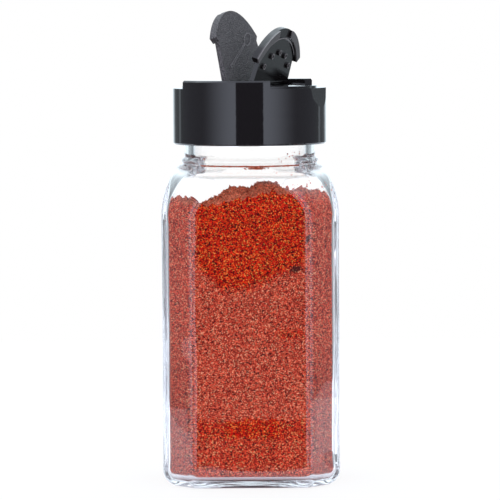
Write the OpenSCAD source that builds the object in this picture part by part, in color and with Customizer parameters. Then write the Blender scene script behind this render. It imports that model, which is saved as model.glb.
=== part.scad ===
// Square glass spice jar with a screw cap that has a pouring flap and a sifting flap.
// +Z is up, the origin is at the centre of the base, and the jar's flat sides face X and Y.

/* [Jar body] */
// Width across two opposite flat sides
body_w = 44; // [42:0.5:50]
// Width of one flat side between the corner bevels
flat_w = 28.6; // [26:0.1:32]
// Rounding where a flat side meets a bevel
edge_r = 3; // [1:0.5:5]
// Height at which the shoulder starts
shoulder_z = 67.6; // [60:0.1:90]
// Rise of the shoulder from the body to the neck
shoulder_h = 11.2; // [10:0.1:14]
// Rounding round the heel
heel_r = 4.2; // [3:0.1:6]
// Wall of the body
wall_t = 1.8; // [1.2:0.1:2.6]
// Thickness of the bottom
floor_t = 2.5; // [2:0.1:5]
// Radius of the hollow under the base
pushup_r = 14; // [10:0.5:15]
// Depth of the hollow under the base
pushup_d = 0.6; // [0.2:0.1:1]

/* [Neck finish] */
// Radius of the neck below the thread
neck_r = 16.4; // [16:0.1:16.6]
// Radius of the mouth
mouth_r = 14; // [13:0.1:14.4]
// Height from the end of the shoulder to the lip
finish_h = 18.05; // [17.5:0.05:19.5]
// How far the transfer bead stands out of the neck
bead_out = 0.75; // [0.5:0.05:1.1]
// Lead of the screw thread
pitch = 4.233; // [4:0.001:4.5]
// How many turns the thread makes
turns = 1.25; // [1:0.05:1.3]
// How far the glass thread stands out of the neck
thread_out = 0.95; // [0.8:0.05:1]

/* [Cap] */
// Outer radius of the cap
cap_r = 19.2; // [19:0.1:21]
// Inner radius of the skirt
skirt_in_r = 17.6; // [17.55:0.05:17.8]
// Height of the cap, flaps closed
cap_h = 16; // [15:0.1:17]
// Thickness of the deck that carries the holes
deck_t = 1.2; // [1:0.1:1.6]
// Thickness of the sealing liner
liner_t = 0.95; // [0.6:0.05:1.2]
// Turn of the cap on the jar, clockwise from above
cap_turned = 20.3; // [0:0.1:45]
// Depth of the thumb scoops in the skirt
scoop_d = 0.85; // [0.5:0.05:1]
// Radius of the scoops' hollow
scoop_r = 14; // [10:1:20]

/* [Flaps] */
// Thickness of the flap plates
flap_t = 1.2; // [1:0.1:1.4]
// Depth of the lip round a flap's free edge, from its top
lip_d = 1.85; // [1.6:0.05:2]
// Width of the lip
lip_w = 2; // [1.5:0.1:2.5]
// Half of the angle that each lip covers
lip_a = 50; // [44:0.5:52]
// Distance from the cap's axis to the pouring flap's hinge
pour_hinge = 0.9; // [0.5:0.1:1.5]
// Half width of the pouring flap at its hinge
pour_half = 14.7; // [12:0.1:15]
// Distance from the cap's axis to the sifting flap's hinge
sift_hinge = 5; // [4.5:0.1:5.5]
// Half width of the sifting flap at its hinge
sift_half = 12.6; // [11.5:0.1:13]
// How far the pouring flap stands open
pour_open = 75.5; // [0:0.5:90]
// How far the sifting flap stands open
sift_open = 73; // [0:0.5:90]
// Radius of the barrel along each hinge
barrel_r = 0.7; // [0.6:0.05:0.75]
// Radius of the pintle at each end of a barrel
pintle_r = 0.45; // [0.35:0.05:0.5]
// Length of each pintle
pintle_l = 1.4; // [1:0.1:1.8]
// Radius of the arc that the sifting holes lie on
hole_arc_r = 11.7; // [11:0.1:12]
// Radius of a sifting hole
hole_r = 1.2; // [1.1:0.05:1.4]
// Radius of a peg that closes a sifting hole
peg_r = 1; // [0.8:0.05:1]
// Angle between neighbouring sifting holes
hole_step = 21.5; // [20:0.5:24]

/* [Spice] */
// Height of the spice's level part above the foot of the shoulder
spice_up = 3.4; // [2:0.1:3.8]
// Height of the small lumps on top of the spice
lump_h = 0.3; // [0:0.1:0.5]

/* [Hidden] */
$fn = 96;
body_half = body_w / 2;
bevel_far = (body_half + flat_w / 2) / sqrt(2);
inner_heel_r = 2;
// How much lower the shoulder's inner surface ends than its outer one
inner_drop = 2.8;
inner_h = shoulder_h - inner_drop;
bead_r = neck_r + bead_out;
neck_z = shoulder_z + shoulder_h;
lip_z = neck_z + finish_h;
// The transfer bead runs straight into the shoulder below it
bead_foot = 0.4;
bead_low = neck_z + 0.2;
bead_top = neck_z + 2.3;
bead_soft = 0.5;
lip_soft = 0.65;
pushup_slope = 1.5;
// The faceted body runs this far past the turned neck and mouth before they cut it
skin_over = 0.2;
seat_gap = 0.1;
slide_gap = 0.05;
liner_z = lip_z + seat_gap;
deck_low = liner_z + liner_t + slide_gap;
deck_z = deck_low + deck_t;
flap_gap = 0.3;
top_z = deck_z + flap_gap + flap_t;
skirt_z = top_z - cap_h;
hinge_z = top_z - flap_t / 2;
ledge_gap = 0.2;
ledge_z = top_z - lip_d - ledge_gap;
side_gap = 0.3;
// Each lip ends short of the sector of its ledge, and the ledge a little past it
lip_short = 0.5;
ledge_past = 0.8;
pintle_gap = 0.05;
barrel_gap = 0.1;
liner_out = 0.8;
cap_soft = 0.4;
cap_thread_in = 0.9;
// Half heights of the thread ridges at root and crest, and how far a root is sunk in its wall
glass_root = 1.35;
glass_crest = 0.55;
cap_root = 1;
cap_crest = 0.35;
root_sunk = 0.4;
thread_drop = 8.75;
glass_thread_z = lip_z - thread_drop;
// The cap's thread bears on the glass thread from below
thread_lap = 0.4;
cap_thread_z = glass_thread_z - pitch / 2 + thread_lap;
pour_cut_r = 12.4;
pour_cut_x = 3.2;
plug_gap = 0.35;
plug_t = 0.8;
plug_d = 0.75;
seal_r = 15.4;
seal_w = 0.5;
seal_d = 0.22;
peg_bore_h = 1.6;
spice_gap = 0.15;
// The spice's heap across the jar: X, and height over or under the level part
heap = [
    [-22, -1.2], [-17, -1], [-13, -1.7], [-9.2, -1.8], [-7, 0.2], [-4.6, 2], [-2, 1.2], [0, 1.4],
    [2.4, 3.1], [5.5, 3.4], [7, 3.2], [8.4, 1.5], [11, 1.6], [14, 0.2], [22, -0.2]
];
// Highest share of the shoulder that the spice reaches
spice_share = 0.85;
// Degrees per millimetre and starting angles of the waves that make the spice's lumps
wave_rate = [14, 11, 23, 19];
wave_start = [40, -20, 0, 60];
arc_steps = 5;
eps = 0.01;

// One ring of points round a bevelled square at height z. The flats lie at half and the
// bevels at far from the axis, and all eight edges are rounded to radius r.
function ring(half, far, r, z) = [
    for (k = [0:7])
        let (
            side = half - r,
            along = sqrt(2) * (far - r) - side,
            centre = k % 2 == 0 ? [side, along] : [along, side],
            turn = 90 * floor(k / 2)
        )
        for (j = [0:arc_steps - 1])
            let (a = 45 * (k + (j + 0.5) / arc_steps))
            [
                centre[0] * cos(turn) - centre[1] * sin(turn) + r * cos(a),
                centre[0] * sin(turn) + centre[1] * cos(turn) + r * sin(a),
                z
            ]
];

// Fall from 1 to 0 along a superellipse, as s goes from 0 to 1
function fall(s, power) = pow(max(0, 1 - pow(s, power)), 1 / power);

// The rings of the heel, body and shoulder, set in from the outer surface by inset
function heel_rings(inset, low, r) = [
    for (a = [0:30:90])
        let (back = inset + r * (1 - sin(a)))
        ring(body_half - back, bevel_far - back, edge_r, low + r * (1 - cos(a)))
];
function shoulder_ring(s, end_r, inset, rise = shoulder_h) =
    let (
        half = end_r + (body_half - inset - end_r) * fall(s, 1.7),
        far = end_r + (bevel_far - inset - end_r) * fall(s, 1.4)
    )
    ring(half, far, edge_r + (end_r - edge_r) * s * s, shoulder_z + rise * s);
function shoulder_rings(end_r, inset, rise) = [
    for (a = [0:9:90]) shoulder_ring(sin(a), end_r, inset, rise)
];

// Height of the spice's heap at x, above the foot of the shoulder
function heap_at(x) = min(spice_share * inner_h, spice_up + lookup(x, heap));

// One ring of the spice's side in the shoulder, the given share of the way up to its rim. The
// rim lies against the glass at the heap's own height.
function spice_side(share, inset) =
    let (foot = shoulder_ring(0, mouth_r, inset, inner_h))
    [
        for (j = [0:len(foot) - 1])
            shoulder_ring(share * heap_at(foot[j][0]) / inner_h, mouth_r, inset, inner_h)[j]
    ];

// A point of the spice's loose top, the share k of the way out to the rim's point p. The small
// lumps die out at the rim.
function spice_point(p, k) =
    let (
        x = k * p[0],
        y = k * p[1],
        broad = sin(wave_rate[0] * x + wave_start[0]) * cos(wave_rate[1] * y + wave_start[1]),
        fine = cos(wave_rate[2] * x + wave_start[2]) * sin(wave_rate[3] * y + wave_start[3])
    )
    [x, y, shoulder_z + heap_at(x) + (1 - k * k) * lump_h * (broad + fine)];

// A closed solid through rings that each have the same number of points
module skin(rings) {
    count = len(rings[0]);
    last = len(rings) - 1;
    points = [for (one = rings) for (p = one) p];
    sides = [
        for (i = [0:last - 1]) for (j = [0:count - 1])
            let (a = i * count + j, b = i * count + (j + 1) % count)
            for (face = [[a, a + count, b + count], [a, b + count, b]]) face
    ];
    bottom = [[for (j = [0:count - 1]) j]];
    top = [[for (j = [count - 1:-1:0]) last * count + j]];
    polyhedron(points, concat(sides, bottom, top), convexity = 6);
}

// A screw ridge between root_r and crest_r that fades in and out at its ends
module screw_ridge(root_r, crest_r, root_half, crest_half, start_z) {
    step_a = 10;
    steps = round(360 * turns / step_a);
    fade = 3;
    end_share = 0.3;
    end_half = 0.05;
    sections = [
        for (i = [0:steps])
            let (
                a = i * step_a,
                z = start_z + pitch * a / 360,
                grow = min(1, (min(i, steps - i) + end_share) / fade),
                r = root_r + (crest_r - root_r) * grow,
                half = crest_half * grow + end_half
            )
            [
                [root_r * cos(a), root_r * sin(a), z - root_half],
                [r * cos(a), r * sin(a), z - half],
                [r * cos(a), r * sin(a), z + half],
                [root_r * cos(a), root_r * sin(a), z + root_half]
            ]
    ];
    // Sections of an inward ridge run the other way round, so that faces still point out
    skin(crest_r > root_r ? [for (s = sections) [s[3], s[2], s[1], s[0]]] : sections);
}

// Everything that belongs to the cap lies in the cap's own frame, the hinges along its Y
module in_cap_frame() {
    rotate([0, 0, -cap_turned]) children();
}

// A rod along Y, centred on x, z
module rod_y(x, z, r, length) {
    translate([x, length / 2, z]) rotate([90, 0, 0]) cylinder(r = r, h = length);
}

// Outline of a flap with its hinge line at x = hinge, out to radius r. grow widens it
// sideways and lets it reach inwards past the hinge line.
module flap_outline(hinge, half, r, grow = 0, inwards = 0) {
    slope = (cap_r * sin(lip_a) - half) / (cap_r * cos(lip_a) - hinge);
    low = hinge - inwards;
    low_y = half + grow;
    far = r + 1;
    far_y = half + grow + slope * (far - hinge);
    intersection() {
        circle(r);
        polygon([
            [low, -low_y], [hinge, -low_y], [far, -far_y], [far, far_y], [hinge, low_y], [low, low_y]
        ]);
    }
}

// The sector from radius r_in to r_out that spans half_a each side of X
module sector(r_in, r_out, half_a) {
    reach = 2 * r_out;
    difference() {
        intersection() {
            circle(r_out);
            polygon([[0, 0], [reach * cos(half_a), -reach * sin(half_a)], [reach, 0],
                [reach * cos(half_a), reach * sin(half_a)]]);
        }
        circle(r_in);
    }
}

// The D shape of the pouring hole, made smaller all round by inset
module pour_shape(inset) {
    intersection() {
        circle(pour_cut_r - inset);
        translate([pour_cut_x + inset, -cap_r]) square([cap_r, 2 * cap_r]);
    }
}

// Places for the sifting holes and the pegs that close them
module at_holes() {
    for (k = [-2:2]) rotate([0, 0, k * hole_step]) translate([hole_arc_r, 0, 0]) children();
}

// A flap's plate, lip, barrel and pintles, closed, with its free edge towards +X
module flap_plate(hinge, half) {
    translate([0, 0, top_z - flap_t]) linear_extrude(flap_t) flap_outline(hinge, half, cap_r);
    translate([0, 0, top_z - lip_d]) linear_extrude(lip_d - flap_t + eps)
        sector(cap_r - lip_w, cap_r, lip_a - lip_short);
    rod_y(hinge, hinge_z, barrel_r, 2 * half);
    rod_y(hinge, hinge_z, pintle_r, 2 * (half + pintle_l));
}

// A closed flap's pieces turned up about the hinge, as the flap stands open
module opened(hinge, angle) {
    translate([hinge, 0, hinge_z]) rotate([0, -angle, 0]) translate([-hinge, 0, -hinge_z]) children();
}

// The room that a flap with its hinge at x = hinge takes in the top of the cap
module flap_pocket(hinge, half) {
    translate([0, 0, deck_z]) linear_extrude(cap_h)
        flap_outline(hinge, half, cap_r + 1, side_gap, barrel_r + barrel_gap);
    translate([0, 0, ledge_z]) linear_extrude(cap_h)
        sector(cap_r - lip_w - side_gap, cap_r + 1, lip_a + ledge_past);
    rod_y(hinge, hinge_z, pintle_r + pintle_gap, 2 * (half + pintle_l + side_gap));
    translate([cap_r - scoop_d + scoop_r, 0, 0]) rod_y(0, ledge_z, scoop_r, 2 * cap_r);
}

module glass_jar() {
    neck_low = neck_z - 4;
    color([0.85, 0.93, 0.93, 0.35])
    difference() {
        union() {
            skin(concat(
                heel_rings(0, 0, heel_r),
                shoulder_rings(neck_r + skin_over, 0, shoulder_h)
            ));
            // Neck, transfer bead and rounded lip
            rotate_extrude() polygon([
                [0, neck_low], [neck_r + bead_foot, neck_low], [neck_r + bead_foot, bead_low],
                [bead_r, bead_low + bead_soft], [bead_r, bead_top - 1.5 * bead_soft],
                [neck_r, bead_top], [neck_r, lip_z - lip_soft],
                [neck_r - lip_soft / 3, lip_z - lip_soft / 3], [neck_r - lip_soft, lip_z], [0, lip_z]
            ]);
            screw_ridge(neck_r - root_sunk, neck_r + thread_out, glass_root, glass_crest, glass_thread_z);
        }
        skin(concat(
            heel_rings(wall_t, floor_t, inner_heel_r),
            shoulder_rings(mouth_r + skin_over, wall_t, inner_h)
        ));
        translate([0, 0, shoulder_z + inner_h - 1])
            cylinder(r = mouth_r, h = inner_drop + finish_h + 2);
        // Shallow hollow that lifts the middle of the base off the table
        rotate_extrude() polygon([
            [0, -1], [pushup_r, -1], [pushup_r, 0], [pushup_r - pushup_slope, pushup_d], [0, pushup_d]
        ]);
    }
}

module spice_fill() {
    inset = wall_t + spice_gap;
    rim = spice_side(1, inset);
    color([0.72, 0.2, 0.08])
    skin(concat(
        heel_rings(inset, floor_t + spice_gap, inner_heel_r),
        [for (share = [0:0.25:1]) spice_side(share, inset)],
        [for (k = [0.9:-0.1:0.1]) [for (p = rim) spice_point(p, k)]]
    ));
}

module liner_ring() {
    color("gainsboro")
    translate([0, 0, liner_z]) difference() {
        cylinder(r = neck_r + liner_out, h = liner_t);
        translate([0, 0, -1]) cylinder(r = mouth_r, h = liner_t + 2);
    }
}

module cap_shell() {
    color([0.05, 0.05, 0.06])
    in_cap_frame() difference() {
        union() {
            difference() {
                // Skirt and top with broken outer edges
                rotate_extrude() polygon([
                    [0, skirt_z], [cap_r - cap_soft, skirt_z], [cap_r, skirt_z + cap_soft],
                    [cap_r, top_z - cap_soft], [cap_r - cap_soft, top_z], [0, top_z]
                ]);
                translate([0, 0, skirt_z - 1]) cylinder(r = skirt_in_r, h = deck_low - skirt_z + 1);
            }
            screw_ridge(
                skirt_in_r + root_sunk, skirt_in_r - cap_thread_in, cap_root, cap_crest, cap_thread_z
            );
        }
        flap_pocket(sift_hinge, sift_half);
        rotate([0, 0, 180]) flap_pocket(pour_hinge, pour_half);
        translate([0, 0, deck_low - 1]) linear_extrude(cap_h) rotate([0, 0, 180]) pour_shape(0);
        at_holes() translate([0, 0, deck_low - 1]) cylinder(r = hole_r, h = deck_t + 2);
    }
}

module pour_flap() {
    color([0.07, 0.07, 0.08])
    in_cap_frame() rotate([0, 0, 180]) opened(pour_hinge, pour_open) {
        flap_plate(pour_hinge, pour_half);
        // Plug that sits in the pouring hole
        translate([0, 0, top_z - flap_t - plug_d]) linear_extrude(plug_d + eps) difference() {
            pour_shape(plug_gap);
            pour_shape(plug_gap + plug_t);
        }
    }
}

module sifter_flap() {
    color([0.07, 0.07, 0.08])
    in_cap_frame() opened(sift_hinge, sift_open) difference() {
        union() {
            flap_plate(sift_hinge, sift_half);
            // Pegs that close the holes, and the rib that seals round them
            at_holes() translate([0, 0, top_z - flap_t - plug_d]) cylinder(r = peg_r, h = plug_d + eps);
            translate([0, 0, top_z - flap_t - seal_d]) linear_extrude(seal_d + eps)
                sector(seal_r - seal_w, seal_r, lip_a);
        }
        at_holes() translate([0, 0, top_z - flap_t - plug_d - 1]) cylinder(r = peg_r / 2, h = peg_bore_h);
    }
}

glass_jar();
spice_fill();
liner_ring();
cap_shell();
pour_flap();
sifter_flap();
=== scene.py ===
import math
import random

import bpy
from mathutils import Matrix, Vector, noise


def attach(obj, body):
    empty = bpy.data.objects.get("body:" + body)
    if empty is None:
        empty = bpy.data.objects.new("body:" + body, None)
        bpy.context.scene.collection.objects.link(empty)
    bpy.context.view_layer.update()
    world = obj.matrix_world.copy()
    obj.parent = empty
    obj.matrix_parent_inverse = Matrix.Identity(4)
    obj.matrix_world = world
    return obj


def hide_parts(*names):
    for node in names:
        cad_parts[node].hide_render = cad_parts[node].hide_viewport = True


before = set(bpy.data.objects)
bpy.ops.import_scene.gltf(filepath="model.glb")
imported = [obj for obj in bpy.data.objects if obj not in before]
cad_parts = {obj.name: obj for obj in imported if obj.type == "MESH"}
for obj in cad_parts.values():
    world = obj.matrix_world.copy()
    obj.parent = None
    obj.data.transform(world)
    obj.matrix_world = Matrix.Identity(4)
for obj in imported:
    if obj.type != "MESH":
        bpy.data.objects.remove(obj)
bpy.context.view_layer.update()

# The viewer stands 0.8 m away and looks down a little through a long lens. The picture leans by
# about a third of a degree.
mm = 0.001
eye = Vector((-0.10, -800.0, 114.6)) * mm
aim = Vector((-0.10, 0.0, 57.8)) * mm
tilt = math.radians(-0.35)
ahead = (aim - eye).normalized()
level = Vector((1, 0, 0))
right = level * math.cos(tilt) + level.cross(ahead) * math.sin(tilt)
upward = right.cross(ahead)
viewer = bpy.data.objects.new("viewer", bpy.data.cameras.new("viewer"))
viewer.data.lens = 229.3
viewer.data.sensor_width = 36
viewer.data.clip_start, viewer.data.clip_end = 0.01, 50
viewer.matrix_world = Matrix(
    [[right[i], upward[i], -ahead[i], eye[i]] for i in range(3)] + [[0, 0, 0, 1]]
)
bpy.context.scene.collection.objects.link(viewer)
bpy.context.scene.camera = viewer
bpy.context.scene.view_settings.view_transform = "Standard"
# Light crosses the glass walls many times before it leaves them
for limit in ("max_bounces", "glossy_bounces", "transmission_bounces"):
    setattr(bpy.context.scene.cycles, limit, 32)


class Flow:
    """A value on its way through a material's nodes. Sums on it add Math nodes."""

    def __init__(self, mix, socket):
        self.mix, self.socket = mix, socket

    def sum(self, operation, *terms):
        return self.mix.node(
            "ShaderNodeMath", {"operation": operation}, dict(enumerate(terms))
        )

    def __add__(self, other):
        return self.sum("ADD", self, other)

    def __radd__(self, other):
        return self.sum("ADD", other, self)

    def __sub__(self, other):
        return self.sum("SUBTRACT", self, other)

    def __rsub__(self, other):
        return self.sum("SUBTRACT", other, self)

    def __mul__(self, other):
        return self.sum("MULTIPLY", self, other)

    def __rmul__(self, other):
        return self.sum("MULTIPLY", other, self)

    def __truediv__(self, other):
        return self.sum("DIVIDE", self, other)

    def __rtruediv__(self, other):
        return self.sum("DIVIDE", other, self)

    def __pow__(self, other):
        return self.sum("POWER", self, other)

    def step(self, low, high, start=0.0, end=1.0):
        """Rises smoothly from start to end as the value goes from low to high."""
        return self.mix.node(
            "ShaderNodeMapRange",
            {"interpolation_type": "SMOOTHSTEP"},
            {0: self, 1: low, 2: high, 3: start, 4: end},
        )

    def tint(self, dull, bright):
        """Goes from the colour dull at 0 to the colour bright at 1."""
        return self.mix.node(
            "ShaderNodeMix",
            {"data_type": "RGBA"},
            {"Factor": self, "A": dull, "B": bright},
            out="Result",
        )


class Finish:
    """The nodes of a material, or of the studio's surroundings."""

    def __init__(self, name, **even):
        self.material = bpy.data.materials.new(name)
        self.material.use_nodes = True
        self.tree = self.material.node_tree
        self.shader = self.tree.nodes["Principled BSDF"]
        for socket, value in even.items():
            self.shader.inputs[socket.replace("_", " ")].default_value = value

    def node(self, kind, settings, inputs, out=0):
        made = self.tree.nodes.new(kind)
        for name, value in settings.items():
            if name == "stops":
                ramp = made.color_ramp.elements
                while len(ramp) < len(value):
                    ramp.new(1)
                for stop, (place, colour) in zip(ramp, value):
                    stop.position, stop.color = place, colour
            else:
                setattr(made, name, value)
        for name, value in inputs.items():
            socket = made.inputs[name]
            if isinstance(name, str):
                socket = [s for s in made.inputs if s.name == name and s.enabled][0]
            if isinstance(value, Flow):
                self.tree.links.new(value.socket, socket)
            else:
                socket.default_value = value
        sockets = made.outputs
        if isinstance(out, str):
            return Flow(self, [s for s in sockets if s.name == out and s.enabled][0])
        return Flow(self, sockets[out])

    def feed(self, **inputs):
        for name, value in inputs.items():
            self.tree.links.new(value.socket, self.shader.inputs[name.replace("_", " ")])

    def place(self, axis=None):
        """The point of the surface in metres, or one coordinate of it."""
        point = self.node("ShaderNodeTexCoord", {}, {}, out="Object")
        if axis is None:
            return point
        return self.node("ShaderNodeSeparateXYZ", {}, {0: point}, out=axis)

    def cloud(self, size, detail=2.0, rough=0.5):
        """Soft noise whose blotches are about size across."""
        return self.node(
            "ShaderNodeTexNoise",
            {},
            {"Vector": self.place(), "Scale": 1 / size, "Detail": detail, "Roughness": rough},
        )

    def relief(self, height, depth):
        """Bumps the surface by height, depth metres at 1."""
        bump = {"Height": height, "Distance": depth, "Strength": 1.0}
        self.feed(Normal=self.node("ShaderNodeBump", {}, bump))


# The studio: a white sweep behind, a large soft light on each side of the viewer with a dark gap
# between them, a soft light overhead and a narrow one behind each side.
studio = bpy.data.worlds.new("studio")
studio.use_nodes = True
bpy.context.scene.world = studio
air = Finish.__new__(Finish)
air.tree = studio.node_tree
air.shader = air.tree.nodes["Background"]
heading = air.node("ShaderNodeTexCoord", {}, {}, out="Generated")
to_x = air.node("ShaderNodeSeparateXYZ", {}, {0: heading}, out="X")
to_y = air.node("ShaderNodeSeparateXYZ", {}, {0: heading}, out="Y")
to_z = air.node("ShaderNodeSeparateXYZ", {}, {0: heading}, out="Z")
# Angle round the object from the viewer's side, the same to left and right, in degrees
turned = (to_x.sum("ABSOLUTE", to_x)).sum("ARCTAN2", to_x.sum("ABSOLUTE", to_x), 0 - to_y)
around = turned * (180 / math.pi)
lamp = (
    around.step(20.2, 20.8)
    * around.step(22, 78, 2.0, 0.22)
    * to_z.step(0.9, 0.7)
    * to_z.step(-0.6, -0.3, 0.3, 1.0)
)
edge_lamp = around.step(126, 127.5) * around.step(134, 132.5) * 0.45
# Above and behind, the white paper curves over the object
sweep = around.step(148, 164) * to_z.step(-0.35, -0.12, 0.12, 1.0)
overhang = around.step(95, 125) * to_z.step(0.32, 0.62)
sweep = sweep.sum("MAXIMUM", sweep, overhang)
top_lamp = to_z.step(0.6, 0.85) * 1.2
path = air.node("ShaderNodeLightPath", {}, {}, out="Is Camera Ray")
through = air.node("ShaderNodeLightPath", {}, {}, out="Is Transmission Ray")
mirrored = air.node("ShaderNodeLightPath", {}, {}, out="Glossy Depth")
soft = air.node("ShaderNodeLightPath", {}, {}, out="Is Diffuse Ray")
# What crosses the glass without a reflection shows the plain white background. Its strength makes
# up for what the four surfaces of two walls throw back.
behind_glass, fill_light = 1.16, 0.3
straight_through = through * mirrored.step(1.0, 0.0)
dim = 0.012 + around.step(80, 120, 0.0, 0.025)
white = path.sum("MAXIMUM", path, straight_through)
lit = lamp + edge_lamp + sweep + top_lamp + dim + soft * fill_light
shade = around.step(105, 130).tint((0.92, 0.99, 1.16, 1), (0.88, 1.0, 1.08, 1))
air.feed(
    Color=white.tint(shade, (1, 1, 1, 1)),
    Strength=white * (path + (1 - path) * behind_glass) + (1 - white) * lit,
)

# The floor is a plain pale board that the jar stands on. It takes the jar's soft shadow, and the
# viewer sees it nearly as white as the background, also through the glass.
floor_size, floor_y, floor_z, floor_white = 0.4, 0.15, -0.00002, 0.88
bpy.ops.object.select_all(action="DESELECT")
bpy.ops.mesh.primitive_plane_add(size=floor_size, location=(0, floor_y, floor_z))
floor = bpy.context.object
floor.name = "floor"
board = Finish("pale_board", Base_Color=(0.86, 0.86, 0.86, 1), Roughness=0.9)
seen = board.node("ShaderNodeLightPath", {}, {}, out="Is Camera Ray")
seen_through = board.node("ShaderNodeLightPath", {}, {}, out="Is Transmission Ray")
turned_back = board.node("ShaderNodeLightPath", {}, {}, out="Glossy Depth")
glow = board.node("ShaderNodeEmission", {}, {"Color": (1, 1, 1, 1), "Strength": 1.0})
seen = seen.sum("MAXIMUM", seen, seen_through * turned_back.step(1.0, 0.0))
blend = board.node("ShaderNodeMixShader", {}, {0: seen * floor_white, 2: glow})
board.tree.links.new(board.shader.outputs[0], blend.socket.node.inputs[1])
board.tree.links.new(blend.socket, board.tree.nodes["Material Output"].inputs[0])
floor.data.materials.append(board.material)

# The jar is one piece of clear blown glass: a square body with bevelled corners and a thick
# base, a domed shoulder, and a round neck with a transfer bead and one screw thread.
body_half, body_far = 22.0, 37.1 / math.sqrt(2)
edge_r, heel_r, wall, base = 2.3, 4.2, 2.0, 2.5
inner_heel_r, inner_drop = 2.0, 2.0
shoulder_z, shoulder_h = 67.6, 12.0
neck_r, mouth_r, neck_z, lip_z = 16.4, 14.0, 79.6, 96.85
bead_z, bead_h, bead_out, bead_foot = 79.7, 1.7, 0.75, 0.4
thread_z, thread_out, pitch, turns = 88.1, 0.95, 4.233, 1.25
thread_foot, thread_flank, thread_run = 1.35, 0.8, 30
hollow_r, hollow_d, hollow_slope, pole_r = 14.0, 0.6, 1.5, 0.2
flat_fall, bevel_fall, lip_r, above_bead = 1.75, 1.4, 0.65, 82.5
eighth = [1.5 * i for i in range(19)] + list(range(28, 46))
quarter = eighth + [90 - a for a in eighth[-2:0:-1]]
bearings = [a + turn for turn in (0, 90, 180, 270) for a in quarter]


def reach(bearing, half, far, r):
    """Distance from the axis to a bevelled square whose corners are rounded to r."""
    a = bearing % 90
    a = math.radians(min(a, 90 - a))
    centre = (half - r, math.sqrt(2) * (far - r) - (half - r))
    if half * math.tan(a) <= centre[1]:
        return half / math.cos(a)
    if far * math.tan(math.pi / 4 - a) <= (centre[0] - centre[1]) / math.sqrt(2):
        return far / math.cos(math.pi / 4 - a)
    across = centre[0] * math.cos(a) + centre[1] * math.sin(a)
    return across + math.sqrt(r * r - centre[0] ** 2 - centre[1] ** 2 + across**2)


def at(bearing, r, z):
    a = math.radians(bearing)
    return Vector((r * math.cos(a), r * math.sin(a), z))


def section(half, far, r, z):
    return [at(b, reach(b, half, far, r), z) for b in bearings]


def circle(r, z):
    return [at(b, r, z) for b in bearings]


def fall(s, power):
    """Goes from 1 to 0, ever steeper, as s goes from 0 to 1."""
    return max(0.0, 1 - s**power) ** (1 / power)


def heel(inset, low, r):
    """Sections from the bottom's edge up round the heel, the wall set in by inset."""
    steps, made = 8, []
    for i in range(steps + 1):
        a = math.pi / 2 * i / steps
        back = inset + r * (1 - math.sin(a))
        made.append(section(body_half - back, body_far - back, edge_r, low + r * (1 - math.cos(a))))
    return made


def shoulder_section(s, end_r, inset):
    """The dome at share s of its height, from the square body to the round neck."""
    half = end_r + (body_half - inset - end_r) * fall(s, flat_fall)
    far = end_r + (body_far - inset - end_r) * fall(s, bevel_fall)
    return section(half, far, edge_r + (end_r - edge_r) * s * s, shoulder_z + shoulder_h * s)


def shoulder(end_r, inset):
    steps = 28
    return [
        shoulder_section(math.sin(math.pi / 2 * i / steps), end_r, inset)
        for i in range(steps + 1)
    ]


def straight(below, above, steps):
    """Sections between two others, for the body's walls."""
    return [
        [p.lerp(q, i / steps) for p, q in zip(below, above)] for i in range(1, steps)
    ]


def wavy(rings, size, depth):
    """Blown glass is never quite flat: moves each section in a little, more or less."""
    for ring in rings:
        for p in ring:
            out = Vector((p.x, p.y, 0)).normalized()
            p += out * depth * (noise.noise(Vector((p.x / size, p.y / size, p.z / size / 1.6))) - 0.6)
    return rings


def neck_section(z):
    """The neck at height z, with the screw thread's ridge where it passes."""
    made = []
    for b in bearings:
        r = neck_r
        for a in (b, b + 360):
            if a > 360 * turns:
                continue
            off = abs(z - thread_z - pitch * a / 360)
            grow = min(1, a / thread_run, (360 * turns - a) / thread_run)
            rise = max(0, min(1, (thread_foot - off) / thread_flank))
            r = max(r, neck_r + thread_out * grow * rise * rise * (3 - 2 * rise))
        made.append(at(b, r, z))
    return made


def loft(name, rings):
    """Draws a tube up ring by ring, sets each ring to its section and closes both ends.
    The attribute "ring" keeps each point's ring number."""
    bpy.ops.object.select_all(action="DESELECT")
    bpy.ops.mesh.primitive_circle_add(vertices=len(rings[0]), radius=1)
    piece = bpy.context.object
    piece.name = piece.data.name = name
    bpy.ops.object.mode_set(mode="EDIT")
    for _ in rings[1:]:
        bpy.ops.mesh.extrude_region_move(TRANSFORM_OT_translate={"value": (0, 0, 1)})
    bpy.ops.object.mode_set(mode="OBJECT")
    count = len(rings[0])
    order = piece.data.attributes.new("ring", "FLOAT", "POINT").data
    for v in piece.data.vertices:
        turn = round(math.degrees(math.atan2(-v.co.x, v.co.y)) / 360 * count) % count
        order[v.index].value = round(v.co.z)
        v.co = rings[round(v.co.z)][turn] * mm
    bpy.ops.object.mode_set(mode="EDIT")
    bpy.ops.mesh.select_all(action="SELECT")
    bpy.ops.mesh.select_mode(type="EDGE")
    bpy.ops.mesh.region_to_loop()
    bpy.ops.mesh.fill_holes(sides=0)
    bpy.ops.mesh.select_all(action="SELECT")
    bpy.ops.mesh.normals_make_consistent(inside=False)
    bpy.ops.object.mode_set(mode="OBJECT")
    bpy.ops.object.shade_smooth()
    return piece


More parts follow.
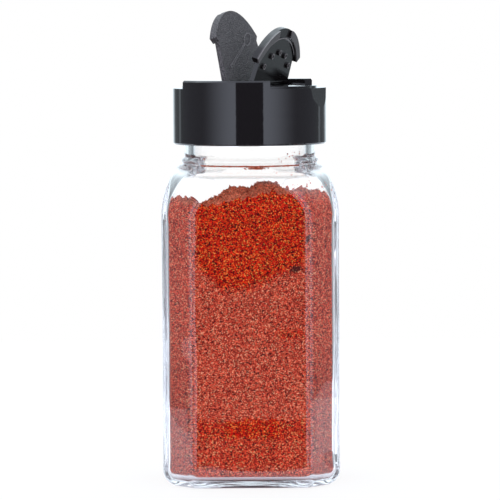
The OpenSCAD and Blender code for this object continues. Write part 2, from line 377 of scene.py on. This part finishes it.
outside = [circle(pole_r, hollow_d), circle(hollow_r - hollow_slope, hollow_d), circle(hollow_r, 0)]
outside += heel(0, 0, heel_r)
dome = shoulder(neck_r + bead_foot, 0)
outside += wavy(straight(outside[-1], dome[0], 24), 17, 0.12) + dome
bead = []
for i in range(1, 17):
    t = 2 * i / 16 - 1
    foot = bead_foot * max(0, -t)
    bead.append((foot + (bead_out - foot) * (1 - t * t) ** 1.3, bead_z + bead_h * (t + 1) / 2))
outside += [circle(neck_r + rise, z) for rise, z in bead]
outside.append(circle(neck_r, above_bead))
outside += [neck_section(86.6 + 0.2 * i) for i in range(42)]
outside += [
    circle(neck_r - lip_r * (1 - math.cos(a)), lip_z - lip_r * (1 - math.sin(a)))
    for a in (0, 0.4, 0.8, 1.2, math.pi / 2)
]
inner_top = neck_z - inner_drop
inner_dome = shoulder(neck_r + bead_foot, wall)
for ring in inner_dome:
    for p in ring:
        p.z -= inner_drop * (p.z - shoulder_z) / shoulder_h
inner_heel = heel(wall, base, inner_heel_r)
inner_wall = wavy(straight(inner_heel[-1], inner_dome[0], 24), 13, 0.45)
mouth_edge = ((0.4, 0), (0.1, 0.15), (0, 0.5))
inside = [circle(mouth_r + out, lip_z - down) for out, down in mouth_edge]
inside += [circle(mouth_r, z) for z in (94, 90, 86, above_bead)]
# The wall keeps its thickness behind the bead
inside += [circle(mouth_r + rise, z) for rise, z in bead[::-1]]
inside += [
    circle(mouth_r + bead_foot + 0.9 * (1 - math.sin(a)), inner_top + 1.3 * (1 - math.cos(a)))
    for a in [math.pi / 2 * (10 - i) / 10 for i in range(11)]
]
inside += inner_dome[::-1] + inner_wall[::-1] + inner_heel[::-1]
inside += [circle(8, base), circle(pole_r, base)]
jar = loft("clear_jar", outside + inside)
clear_glass = Finish(
    "clear_glass",
    Base_Color=(1, 1, 1, 1),
    Roughness=0.0,
    IOR=1.5,
    Transmission_Weight=1.0,
)
# At the foot of the neck, front and back, the glass is drawn almost see-through. Real glass isn't:
# its refraction would draw dark bands of the spice across the neck there.
glass_x, glass_y, glass_z = (clear_glass.place(axis) for axis in "XYZ")
flat_share = glass_y.sum("ABSOLUTE", glass_y) / (glass_x * glass_x + glass_y * glass_y) ** 0.5
facing = flat_share.step(0.60, 0.68)
cleared = facing * glass_z.step(0.0763, 0.0775) * glass_z.step(0.0824, 0.0816)
clear_glass.feed(Alpha=1 - cleared * 0.94)
jar.data.materials.append(clear_glass.material)
# The light that falls on the spice is let past the glass unchanged
jar.visible_shadow = False
jar.visible_diffuse = False
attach(jar, "jar")
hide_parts("glass_jar")

# The spice is loose ground chilli. It fills the body up to the shoulder and lies in soft lumps
# on top, and its fine dust clings to the glass.
spice_gap, spice_level, front_y, crest_in, back_slope = 0.09, 70.2, -20, 8, 0.11
loose_count, stray_count, dust_count, patch_count = 4600, 110, 900, 220
stray_from, stray_to, stray_low, stray_high = -1.15, -0.2, 70.5, 83.0
dust_r, dust_z, dust_span = 14.32, 79.5, 58
# How wide and how high the top's unevenness is, from soft lumps to single crumbs
uneven = ((4, 0.4), (1.6, 1.0), (0.75, 1.1), (0.4, 0.5))
# X, height at the front glass over or under the level, and how much higher the crest behind it is
heap = [
    (-22, 0.2, 0.3), (-17, 0.0, 0.3), (-13, -0.5, 0.2), (-9.5, -0.3, 0.3), (-7, 0.6, 0.7), (-4.6, 1.6, 1.5),
    (-2.2, 1.7, 0.9), (0, 1.7, 0.9), (2.2, 2.3, 1.9), (6.4, 2.5, 2.1), (8.2, 2.6, 0.7), (12, 2.4, 0.3),
    (15, 1.7, 0.2), (22, 0.5, 0.2),
]


def spice_top(x, y):
    """Height of the loose top. It rises from the front glass to lumps a little way in, and falls
    gently to the back."""
    u = x + 0.6 * noise.noise(Vector((x / 5, y / 5, 3)))
    for (a, low, lump), (b, next_low, next_lump) in zip(heap, heap[1:]):
        if a <= u <= b:
            share = (u - a) / (b - a)
            low, lump = low + (next_low - low) * share, lump + (next_lump - lump) * share
            break
    climb = min(1.0, max(0.0, (y - front_y) / crest_in))
    z = spice_level + low + lump * climb * climb * (3 - 2 * climb) - back_slope * max(0.0, y + 8)
    for size, depth in uneven:
        z += depth * noise.noise(Vector((x / size, y / size, size)))
    return z


def packed(ring):
    """A section of the inner glass, set in by the thin gap between the glass and the spice."""
    made = []
    for p in ring:
        out = Vector((p.x, p.y, 0)).normalized()
        made.append(out * (math.hypot(p.x, p.y) - spice_gap) + Vector((0, 0, p.z)))
    return made


def against_dome(column, z):
    """Where the spice meets the dome at height z, on one bearing."""
    for low, high in zip(inner_dome, inner_dome[1:]):
        if z <= high[column].z:
            p, q = low[column], high[column]
            return packed([p.lerp(q, (z - p.z) / (q.z - p.z))])[0]


rim = []
for column, foot in enumerate(inner_dome[0]):
    p = foot
    for _ in range(4):
        p = against_dome(column, max(shoulder_z + 0.2, spice_top(p.x, p.y)))
    rim.append(p)
fill = [packed(r) for r in (circle(0.3, base + 0.1), circle(8, base + 0.1))]
fill += [packed(r) for r in inner_heel + inner_wall]
for ring in fill[2:4]:
    for p in ring:
        p.z = max(p.z, base + 0.1)
for share in (0.0, 0.25, 0.5, 0.75, 0.9):
    fill.append(
        [against_dome(j, shoulder_z + share * (p.z - shoulder_z)) for j, p in enumerate(rim)]
    )
fill.append(rim)
for k in [1 - i / 90 for i in range(1, 90)]:
    fill.append([Vector((k * p.x, k * p.y, spice_top(k * p.x, k * p.y))) for p in rim])
spice = loft("ground_spice", fill)
first_loose = fill.index(rim)


def crumbs(name, places, ring):
    """Many small grains in one mesh, each a lump with twelve corners and its own turn and size."""
    gold = (1 + math.sqrt(5)) / 2
    corners = []
    for s in (-1, 1):
        for g in (-gold, gold):
            corners += [Vector(c).normalized() for c in ((0, s, g), (s, g, 0), (g, 0, s))]
    near = [[j for j in range(12) if 0.1 < (corners[i] - corners[j]).length < 1.2] for i in range(12)]
    sides = []
    for i in range(12):
        for j in near[i]:
            for k in near[i]:
                if i < j < k and k in near[j]:
                    flip = (corners[j] - corners[i]).cross(corners[k] - corners[i]).dot(corners[i]) < 0
                    sides.append((i, k, j) if flip else (i, j, k))
    points, faces = [], []
    for place, size in places:
        angle = chance.uniform(0, 6.28)
        axis = Vector((chance.uniform(-1, 1), chance.uniform(-1, 1), 0.5))
        turn = Matrix.Rotation(angle, 3, axis)
        stretch = Vector([size * chance.uniform(0.6, 1.25) for _ in range(3)])
        faces += [[i + len(points) for i in side] for side in sides]
        points += [(place + turn @ Vector([a * b for a, b in zip(c, stretch)])) * mm for c in corners]
    mesh = bpy.data.meshes.new(name)
    mesh.from_pydata(points, [], faces)
    mesh.attributes.new("ring", "FLOAT", "POINT").data.foreach_set("value", [ring] * len(points))
    piece = bpy.data.objects.new(name, mesh)
    bpy.context.scene.collection.objects.link(piece)
    return piece


# Loose grains make the top rough. About a hundred stick to the inside of the glass at the front's
# right. Grains count as a ring past the first loose one, so the finish knows them.
loose_ring = first_loose + 10.0
chance = random.Random(7)
loose = []
while len(loose) < loose_count:
    edge = rim[chance.randrange(len(rim))]
    k = math.sqrt(chance.uniform(0, 0.97))
    x, y = k * edge.x, k * edge.y
    spot = Vector((x, y, spice_top(x, y) + chance.uniform(-0.05, 0.3)))
    loose.append((spot, chance.uniform(0.11, 0.34)))
top = crumbs("loose_grains", loose, loose_ring)
bpy.ops.object.select_all(action="DESELECT")
top.select_set(True)
spice.select_set(True)
bpy.context.view_layer.objects.active = spice
bpy.ops.object.join()
strays = []
while len(strays) < stray_count:
    column = chance.randrange(len(bearings))
    z = chance.uniform(stray_low, stray_high)
    b = math.radians(bearings[column])
    at_right = stray_from < math.atan2(math.sin(b), math.cos(b)) < stray_to
    # Fewer stick to the neck than to the dome
    if not at_right or (z > 78 and chance.random() < 0.4):
        continue
    wall_point = against_dome(column, z) if z < inner_top else at(bearings[column], mouth_r - 0.05, z)
    strays.append((wall_point, chance.choice((0.08, 0.11, 0.13, 0.17, 0.24))))
# A line of dust lies on the front of the neck's inner foot, with a thicker patch near its middle
for i in range(dust_count):
    b = chance.uniform(-dust_span, dust_span)
    z = dust_z + chance.uniform(-0.14, 0.06)
    if i < patch_count:
        b, z = chance.gauss(6, 4.5), dust_z - chance.uniform(0, 0.75)
    strays.append((at(b - 90, dust_r, z), chance.choice((0.13, 0.16, 0.19))))
dust_grains = crumbs("stray_grains", strays, loose_ring)
chilli = Finish("ground_chilli", Roughness=0.9, Specular_IOR_Level=0.15)
grain_size = 0.00024
grain, round_off = (
    chilli.node(
        "ShaderNodeTexVoronoi",
        {"feature": "F1"},
        {"Vector": chilli.place(), "Scale": 1 / grain_size, "Randomness": 1.0},
        out=what,
    )
    for what in ("Color", "Distance")
)
pick = chilli.node("ShaderNodeSeparateColor", {}, {0: grain}, out="Red")
pick_2 = chilli.node("ShaderNodeSeparateColor", {}, {0: grain}, out="Green")
deep = chilli.node(
    "ShaderNodeValToRGB",
    {
        "stops": [
            (0.0, (0.010, 0.001, 0.001, 1)),
            (0.18, (0.12, 0.002, 0.001, 1)),
            (0.34, (0.66, 0.005, 0.001, 1)),
            (0.58, (1.0, 0.020, 0.002, 1)),
            (0.82, (1.0, 0.075, 0.005, 1)),
            (1.0, (1.0, 0.36, 0.07, 1)),
        ]
    },
    {0: pick},
    out="Color",
)
dusty = chilli.node(
    "ShaderNodeValToRGB",
    {
        "stops": [
            (0.0, (0.04, 0.007, 0.007, 1)),
            (0.16, (0.32, 0.027, 0.016, 1)),
            (0.46, (0.82, 0.074, 0.034, 1)),
            (0.80, (1.0, 0.16, 0.075, 1)),
            (1.0, (1.0, 0.44, 0.24, 1)),
        ]
    },
    {0: pick},
    out="Color",
)
# Moist spice shows deep red through the glass: in a wedge at the top of the front, in a band at
# its foot and in a patch at the right. Elsewhere a film of dust dulls it.
veil = chilli.cloud(0.008, 4.0, 0.65)
fringe = (chilli.cloud(0.0012, 2.0) - 0.5) * 0.004
height = chilli.place("Z") + fringe
across = chilli.place("X")
side = across.sum("ABSOLUTE", across)
# The wedge's lower edge is level in the middle and climbs to both sides
climb = (across + 0.001).sum("MAXIMUM", across + 0.001, 0.0) * 0.42
climb = climb + (-0.0074 - across).sum("MAXIMUM", -0.0074 - across, 0.0) * 1.1
wedge = (height - climb).step(0.0476, 0.0512)
streak = height.step(0.0115, 0.0135, 0.5, 1.0)
streak = streak * across.step(-0.0075, -0.005, 0.7, 1.0) * across.step(0.009, 0.006, 0.7, 1.0)
band = height.step(0.0176, 0.0168) * streak * height.step(0.0048, 0.0062)
off = (across - 0.0106).sum("ABSOLUTE", across - 0.0106)
off_up = (height - 0.0384).sum("ABSOLUTE", height - 0.0384)
patch = off.step(0.0048, 0.0030) * off_up.step(0.0018, 0.0008) * 0.6
# The loose top isn't pressed to the glass
ring = chilli.node("ShaderNodeAttribute", {"attribute_name": "ring"}, {}, out="Fac")
up = ring.step(first_loose + 0.5, first_loose + 2.5)
moist = (wedge + band + patch).sum("MINIMUM", wedge + band + patch, 1.0)
moist = moist * side.step(0.0138, 0.0126) * (1 - up)
dust = (1 - moist) * 0.95 + (veil - 0.5) * 0.35
dust = dust.sum("MINIMUM", dust, 1.0)
colour = chilli.node(
    "ShaderNodeMix", {"data_type": "RGBA"}, {"Factor": dust, "A": deep, "B": dusty}, out="Result"
)
colour = (up * 0.45).tint(colour, (1.0, 0.30, 0.15, 1))
# Painted shade darkens the bevels a little towards the base
bevel_shade = side.step(0.0140, 0.0150) * height.step(0.045, 0.015) * 0.25
colour = bevel_shade.tint(colour, (0.10, 0.012, 0.006, 1))
# Painted shade darkens the colour in the crevices between grains, and soft blotches darken it a little at
# random
crevice_shade = round_off.step(0.85, 0.4, 0.3, 1.0) * chilli.cloud(0.0007, 1.0).step(0.3, 0.55, 0.7, 1.0)
colour = chilli.node(
    "ShaderNodeMix",
    {"data_type": "RGBA", "blend_type": "MULTIPLY"},
    {"Factor": 1.0, "A": colour, "B": crevice_shade.tint((0, 0, 0, 1), (1, 1, 1, 1))},
    out="Result",
)
# Painted shade draws two dark cracks in colour on the spice, near the front's right edge
crack_ends = ((0.0132, 0.0156, 0.0612, 0.4), (0.0092, 0.0126, 0.0537, 0.35))
broken = chilli.cloud(0.0011, 2.0).step(0.36, 0.46)
crack_shade = 0.0
for start, end, z, climbs in crack_ends:
    line = height - (z + climbs * (across - start))
    line = line.sum("ABSOLUTE", line).step(0.0008, 0.0003)
    line = line * across.step(start, start + 0.0006) * across.step(end, end - 0.0006)
    crack_shade = crack_shade + line * broken
colour = (crack_shade * 0.85).tint(colour, (0.012, 0.004, 0.006, 1))
chilli.feed(Base_Color=colour)
chilli.relief(pick_2 * 0.5 - round_off, 0.00018)
spice.data.materials.append(chilli.material)
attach(spice, "jar")
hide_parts("spice_fill")
dust_grains.data.materials.append(chilli.material)
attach(dust_grains, "jar")

# The liner is a thin ring of white foam board, stamped from a sheet. It is held in the cap against
# the jar's lip, and seals it.
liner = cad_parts["liner_ring"]
foam = Finish("foam_board", Roughness=0.8)
cells = foam.cloud(0.0004, 3.0)
foam.feed(Base_Color=cells.tint((0.8, 0.8, 0.78, 1), (0.88, 0.88, 0.86, 1)))
foam.relief(cells, 0.00003)
liner.data.materials.clear()
liner.data.materials.append(foam.material)


def carve(piece, tool, operation="DIFFERENCE"):
    """Cuts the tool out of the piece or joins it on, and uses the tool up."""
    step = piece.modifiers.new("step", "BOOLEAN")
    step.operation, step.object, step.solver = operation, tool, "EXACT"
    bpy.context.view_layer.objects.active = piece
    bpy.ops.object.modifier_apply(modifier="step")
    bpy.data.objects.remove(tool)


def prism(outline, low, high):
    """A plate of this outline between two heights."""
    return loft("prism", [[Vector((x, y, z)) for x, y in outline] for z in (low, high)])


def arc_bar(inner, outer, start, end, low, high):
    """A bar along an arc round the cap's axis, from one bearing to another."""
    steps = max(2, round(abs(end - start) / 2))
    turns_on = [start + (end - start) * i / steps for i in range(steps + 1)]
    corners = ((inner, low), (outer, low), (outer, high), (inner, high))
    return loft("bar", [[at(b, r, z) for r, z in corners] for b in turns_on])


def rod(x, z, r, half):
    """A round rod along Y."""
    turns_on = [math.pi * i / 18 for i in range(36)]
    outline = [(x + r * math.cos(a), z + r * math.sin(a)) for a in turns_on]
    return loft("rod", [[Vector((x, y, z)) for x, z in outline] for y in (-half, half)])


def flap_outline(hinge, half, taper, r, grow=0.0, inwards=0.0):
    """A flap seen from above: straight at its hinge, tapering sides, round at the free edge."""
    rise = half + grow
    # Where a side meets the round edge
    a, b = 1 + taper * taper, -taper * (rise + taper * hinge)
    c = (rise + taper * hinge) ** 2 - r * r
    x = (-b + math.sqrt(b * b - a * c)) / a
    end = math.atan2(rise - taper * (x - hinge), x)
    round_edge = [(r * math.cos(end * i / 24), r * math.sin(end * i / 24)) for i in range(-24, 25)]
    return [(hinge - inwards, rise), (hinge - inwards, -rise)] + round_edge


def pouring_shape(inset):
    """The D of the pouring hole, its edge set in by inset."""
    r, chord = pouring_r - inset, pouring_chord + inset
    end = math.acos(chord / r)
    return [(r * math.cos(end * i / 24), r * math.sin(end * i / 24)) for i in range(-24, 25)]


def soften(piece, width, angle=32):
    """Breaks a moulded piece's sharp edges to a small radius."""
    doubles, flat, crease = 0.000004, 0.5, 8
    bpy.ops.object.select_all(action="DESELECT")
    piece.select_set(True)
    bpy.context.view_layer.objects.active = piece
    bpy.ops.object.mode_set(mode="EDIT")
    bpy.ops.mesh.select_all(action="SELECT")
    bpy.ops.mesh.remove_doubles(threshold=doubles)
    bpy.ops.mesh.dissolve_limited(angle_limit=math.radians(flat))
    bpy.ops.object.mode_set(mode="OBJECT")
    bpy.ops.object.shade_smooth_by_angle(angle=math.radians(crease))
    soft = piece.modifiers.new("soft", "BEVEL")
    soft.width, soft.segments = width * mm, 2
    soft.limit_method, soft.angle_limit = "ANGLE", math.radians(angle)
    soft.use_clamp_overlap = True
    soft.harden_normals = True
    bpy.ops.object.modifier_apply(modifier="soft")


def stand(piece, name, hinge, lean, turn):
    """Turns a piece modelled closed, free edge to +X, up about its hinge and round with the cap."""
    pivot = Matrix.Translation(Vector((hinge, 0, hinge_z)) * mm)
    lift = pivot @ Matrix.Rotation(math.radians(-lean), 4, "Y") @ pivot.inverted()
    piece.matrix_world = Matrix.Rotation(math.radians(turn), 4, "Z") @ lift
    piece.name = piece.data.name = name
    bpy.ops.object.select_all(action="DESELECT")
    piece.select_set(True)
    bpy.context.view_layer.objects.active = piece
    bpy.ops.object.transform_apply(location=True, rotation=True, scale=True)
    if piece.data.attributes.get("ring"):
        piece.data.attributes.remove(piece.data.attributes["ring"])


# The cap's shell is moulded in black polypropylene and polished: a skirt with a thread inside, a
# deck with a pouring hole and five sifting holes, and a pocket for each flap.
cap_r, skirt_r, cap_turned = 19.2, 17.6, -20.3
skirt_z, deck_low, deck_z, top_z, hinge_z, ledge_z = 84.65, 97.95, 99.15, 100.65, 100.05, 98.6
pour = dict(hinge=0.9, half=15.3, taper=0.19)
sift = dict(hinge=5.0, half=12.6, taper=0.12)
pour_lip, sift_lip, sift_spread, cap_edge = 50.0, 53.5, -0.17, 0.4
pouring_r, pouring_chord = 12.4, 3.2
holes = [21.5 * k for k in range(-2, 3)]
hole_arc, hole_r = 12.9, 1.1
ridge_steps, ridge_z, ridge_in, ridge_foot = 46, 86.38, 1.3, 1
pocket_room, pocket_back, lip_room, ledge_in = 0.3, 0.8, 0.8, 2.3
bore_r, bore_deep = 0.5, 1.7
scoop_r, scoop_in, scoop_half = 14, 0.85, 38
profile = [(pole_r, deck_low), (skirt_r, deck_low), (skirt_r, skirt_z)]
profile += [(cap_r - cap_edge, skirt_z), (cap_r, skirt_z + cap_edge)]
profile += [(cap_r, top_z - cap_edge), (cap_r - cap_edge, top_z), (pole_r, top_z)]
shell = loft("shell", [circle(r, z) for r, z in profile])
# The thread's ridge is rooted in the skirt's wall, and it grows and fades at its ends
ridge = []
for i in range(ridge_steps):
    grow = min(1, (min(i, ridge_steps - 1 - i) + 0.3) / 3)
    z = ridge_z + pitch * i / 36
    root = skirt_r + 0.4
    crest, half = root - ridge_in * grow, 0.35 * grow + 0.05
    corners = ((root, z - ridge_foot), (crest, z - half), (crest, z + half), (root, z + ridge_foot))
    ridge.append([at(10 * i, r, h) for r, h in corners])
carve(shell, loft("ridge", ridge), "UNION")
# Each flap has a pocket, a ledge for its lip, bores for its pintles and a scoop for the thumb
for side, flap, lip, wide in ((0, sift, sift_lip, sift_spread), (180, pour, pour_lip, pour["taper"])):
    pocket = flap_outline(
        **dict(flap, taper=wide), r=cap_r + 1, grow=pocket_room, inwards=pocket_back
    )
    tools = [
        prism(pocket, deck_z, top_z + 2),
        arc_bar(cap_r - ledge_in, cap_r + 1, -lip - lip_room, lip + lip_room, ledge_z, top_z + 2),
        rod(flap["hinge"], hinge_z, bore_r, flap["half"] + bore_deep),
        rod(cap_r - scoop_in + scoop_r, ledge_z, scoop_r, scoop_half),
    ]
    for tool in tools:
        tool.matrix_world = Matrix.Rotation(math.radians(side), 4, "Z")
        carve(shell, tool)
# The sifting deck rises a little from its edge to its middle
crown_hinge, crown_r, crown = sift["hinge"] + 1.2, cap_r - 2.35, []
for inset, z in ((0, deck_z - 0.3), (0, deck_z + 0.01), (4.5, deck_z + 0.26)):
    outline = flap_outline(crown_hinge, sift["half"] - inset, sift_spread, crown_r - inset)
    crown.append([Vector((x, y, z)) for x, y in outline])
carve(shell, loft("crown", crown), "UNION")
opening = prism(pouring_shape(0.0), deck_low - 1, top_z + 2)
opening.matrix_world = Matrix.Rotation(math.pi, 4, "Z")
carve(shell, opening)
for b in holes:
    middle = at(b, hole_arc, 0)
    turns_on = [i / 12 * math.pi for i in range(24)]
    round_hole = [(middle.x + hole_r * math.cos(a), middle.y + hole_r * math.sin(a)) for a in turns_on]
    carve(shell, prism(round_hole, deck_low - 1, top_z))
soften(shell, 0.12)
stand(shell, "black_cap_shell", 0, 0, cap_turned)
gloss = Finish("black_gloss", Base_Color=(0.0125, 0.0105, 0.011, 1), Roughness=0.06, IOR=1.5)
# The wall sank a little where it cooled over the thread inside
lines = gloss.place("Z") + gloss.cloud(0.012, 1.0) * 0.0006
upper_sink = lines.step(0.0916, 0.0929) * lines.step(0.0944, 0.0931)
lower_sink = lines.step(0.0884, 0.0897) * lines.step(0.0912, 0.0899)
gloss.relief(upper_sink + lower_sink + gloss.cloud(0.0009, 2.0) * 0.02, 0.00006)
shell.data.materials.append(gloss.material)
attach(shell, "cap")
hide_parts("cap_shell")


# The pouring flap is the same plastic. Its top has a fine spark-eroded grain and the raised
# outline of a spoon, and its underside a plug that sits in the pouring hole.
flap_thick, lip_thick, lip_deep, thumb_half = 1.2, 2, 1.85, 14
barrel_r, pintle_r, pintle_out = 0.7, 0.45, 1.4
# What stands under a plate reaches a hair into it
rooted = 1.19
flap_soft, flap_soft_angle = 0.1, 50
plug_outer, plug_inner, plug_deep = 0.35, 1.15, 1.95
pour_lean = 75.5
# The spoon's bowl, the ways along and across its handle, and half sizes of the bowl and of its hollow
bowl_at, along, over = Vector((11.7, -6.65)), Vector((-0.389, 0.921)), Vector((0.921, 0.389))
bowl_half, hollow_half = (2.95, 1.45), (2.65, 1.15)
handle_outer = ((2.6, -0.3), (17.6, -0.42), (18.0, 0), (17.6, 0.42), (2.6, 0.3))
handle_inner = ((3.4, -0.1), (17.3, -0.2), (17.3, 0.2), (3.4, 0.1))


def flap_body(flap, lip):
    """A flap's plate, barrel and pintles, with a lip in two halves that leave room for a thumb."""
    body = prism(flap_outline(**flap, r=cap_r), top_z - flap_thick, top_z)
    for side in (-1, 1):
        start, end = side * thumb_half, side * (lip - 0.5)
        half_lip = arc_bar(cap_r - lip_thick, cap_r, start, end, top_z - lip_deep, top_z - 0.01)
        carve(body, half_lip, "UNION")
    carve(body, rod(flap["hinge"], hinge_z, barrel_r, flap["half"]), "UNION")
    carve(body, rod(flap["hinge"], hinge_z, pintle_r, flap["half"] + pintle_out), "UNION")
    return body


def on_flap(a, b):
    """A point a along the spoon and b across it, from the middle of its bowl."""
    q = bowl_at + along * a + over * b
    return (q.x, q.y)


def bowl(length, width, low, high):
    """The oval of the spoon's bowl."""
    turns_on = [math.pi * i / 16 for i in range(32)]
    return prism([on_flap(length * math.cos(a), width * math.sin(a)) for a in turns_on], low, high)


def handle(corners, low, high):
    return prism([on_flap(*corner) for corner in corners], low, high)


pourer = flap_body(pour, pour_lip)
plug = prism(pouring_shape(plug_outer), top_z - plug_deep, top_z - rooted)
carve(plug, prism(pouring_shape(plug_inner), top_z - 3, top_z))
carve(pourer, plug, "UNION")
spoon_low, spoon_high = top_z - 0.05, top_z + 0.1
spoon = bowl(*bowl_half, spoon_low, spoon_high)
carve(spoon, handle(handle_outer, spoon_low, spoon_high), "UNION")
carve(spoon, bowl(*hollow_half, top_z - 1, top_z + 1))
carve(spoon, handle(handle_inner, top_z - 1, top_z + 1))
carve(pourer, spoon, "UNION")
soften(pourer, flap_soft, flap_soft_angle)
stand(pourer, "black_pour_flap", pour["hinge"], pour_lean, 180 + cap_turned)
satin = Finish("black_grain", Roughness=0.55, IOR=1.5)
fine = satin.cloud(0.00032, 1.0)
# The spoon's raised outline is paler than the grained top round it
lean = math.radians(pour_lean)
proud_of = at(180 + cap_turned, math.sin(lean), 0) * -1 + Vector((0, 0, math.cos(lean)))
hinge_at = at(180 + cap_turned, pour["hinge"], hinge_z) * mm
proud = sum(satin.place("XYZ"[i]) * proud_of[i] for i in range(3)) - hinge_at.dot(proud_of)
grey = fine.step(0.3, 0.7).tint((0.026, 0.022, 0.022, 1), (0.125, 0.108, 0.108, 1))
satin.feed(Base_Color=(proud.step(0.00062, 0.00068) * 0.6).tint(grey, (0.26, 0.235, 0.235, 1)))
satin.relief(fine, 0.0004)
pourer.data.materials.append(satin.material)
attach(pourer, "pour_flap")
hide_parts("pour_flap")

# The sifting flap is the same plastic with a smoother face, and turns on pintles as the pouring
# flap does. Its hollow pegs close the five holes, and a rib seals outside them.
peg_r, peg_bore, peg_pole = 0.76, 0.5, 0.05
peg_top, peg_floor, peg_end = top_z - rooted, top_z - 1.25, top_z - 1.75
rib_inner, rib_outer, rib_span, rib_low = 16.5, 16.8, 43, top_z - 1.45
sift_lean = 73
sifter = flap_body(sift, sift_lip)
cup = [(peg_pole, peg_floor), (peg_bore, peg_floor), (peg_bore, peg_end)]
cup += [(peg_r, peg_end), (peg_r, peg_top), (peg_pole, peg_top)]
for b in holes:
    middle = at(b, hole_arc, 0)
    peg = loft("peg", [[middle + at(15 * i, r, z) for i in range(24)] for r, z in cup])
    carve(sifter, peg, "UNION")
rib = arc_bar(rib_inner, rib_outer, -rib_span, rib_span, rib_low, peg_top)
carve(sifter, rib, "UNION")
soften(sifter, flap_soft, flap_soft_angle)
stand(sifter, "black_sifter_flap", sift["hinge"], sift_lean, cap_turned)
smooth = Finish("black_smooth", Roughness=0.16, IOR=1.5)
# Painted highlights make the rib's crest and the pegs' ends paler, and the lip's edge half as much
lean = math.radians(sift_lean)
outwards = at(cap_turned, math.sin(lean), -math.cos(lean))
hinge_at = at(cap_turned, sift["hinge"], hinge_z) * mm
sunk = sum(smooth.place("XYZ"[i]) * outwards[i] for i in range(3)) - hinge_at.dot(outwards)
on_rib = sunk.step(0.00080, 0.00084) * sunk.step(0.00089, 0.00086)
on_pegs = sunk.step(0.00098, 0.00104) * sunk.step(0.00122, 0.00118, 0.5, 1.0)
painted_edge_highlight = on_rib + on_pegs
smooth.feed(Base_Color=painted_edge_highlight.tint((0.0085, 0.0065, 0.0065, 1), (0.17, 0.15, 0.145, 1)))
sifter.data.materials.append(smooth.material)
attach(sifter, "sifter_flap")
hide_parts("sifter_flap")
